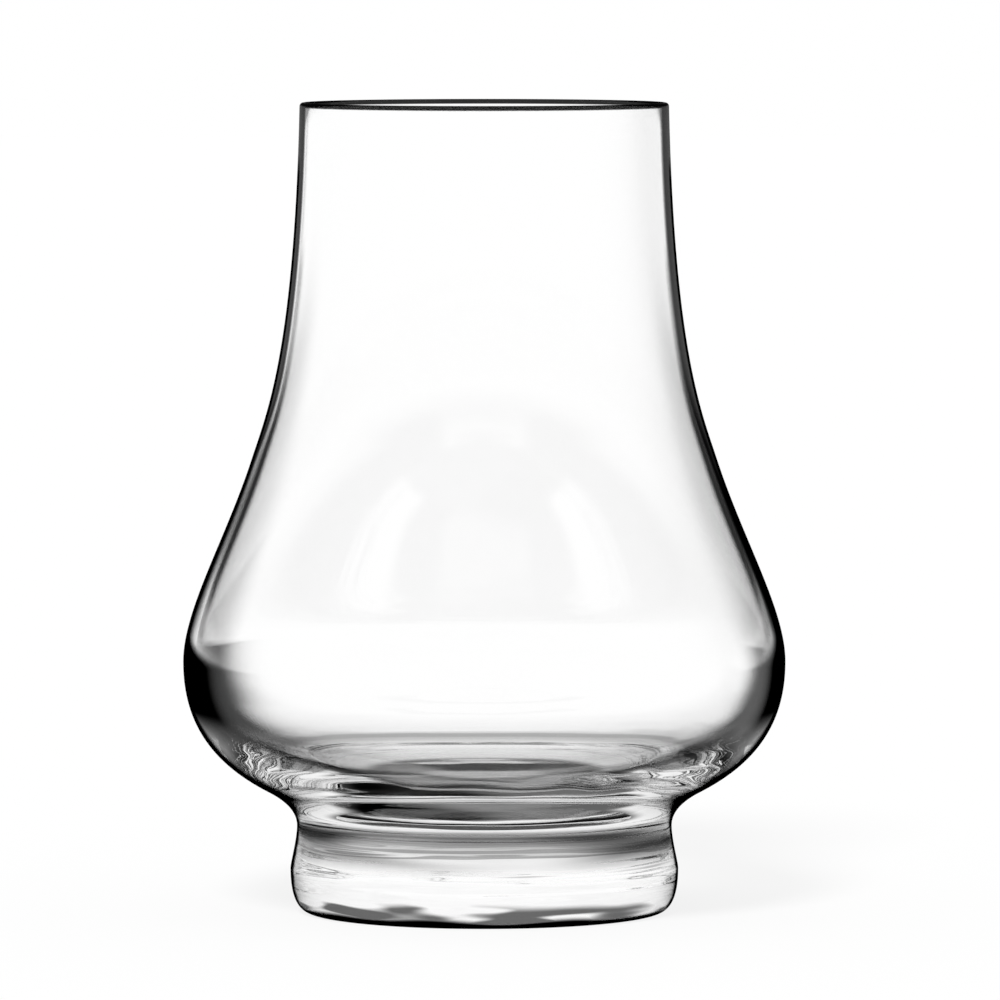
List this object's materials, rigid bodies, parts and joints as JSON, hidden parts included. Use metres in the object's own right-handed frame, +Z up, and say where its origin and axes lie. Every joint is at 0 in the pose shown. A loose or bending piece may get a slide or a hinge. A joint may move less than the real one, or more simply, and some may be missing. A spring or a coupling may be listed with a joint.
{
  "type": "whisky nosing glass",
  "caption": "Clear nosing glass with a straight chimney, a low wide belly, a tucked neck and a thick solid foot, for nosing and sipping whisky.",
  "frame": {"origin": "centre of the ring on which the foot stands, on the table surface", "axes": "+Z up along the axis of revolution, from the foot to the lip; +X and +Y are any two square directions, since the glass is round"},
  "size_m": [0.0728, 0.0728, 0.098],
  "materials": {
    "bowl_glass": "clear colourless soda-lime glass, blown and fire polished",
    "foot_glass": "clear colourless soda-lime glass, pressed, with faint chill lines"
  },
  "bodies": {
    "root": {"bowl": "bowl_glass", "foot": "foot_glass"}
  },
  "joints": []
}
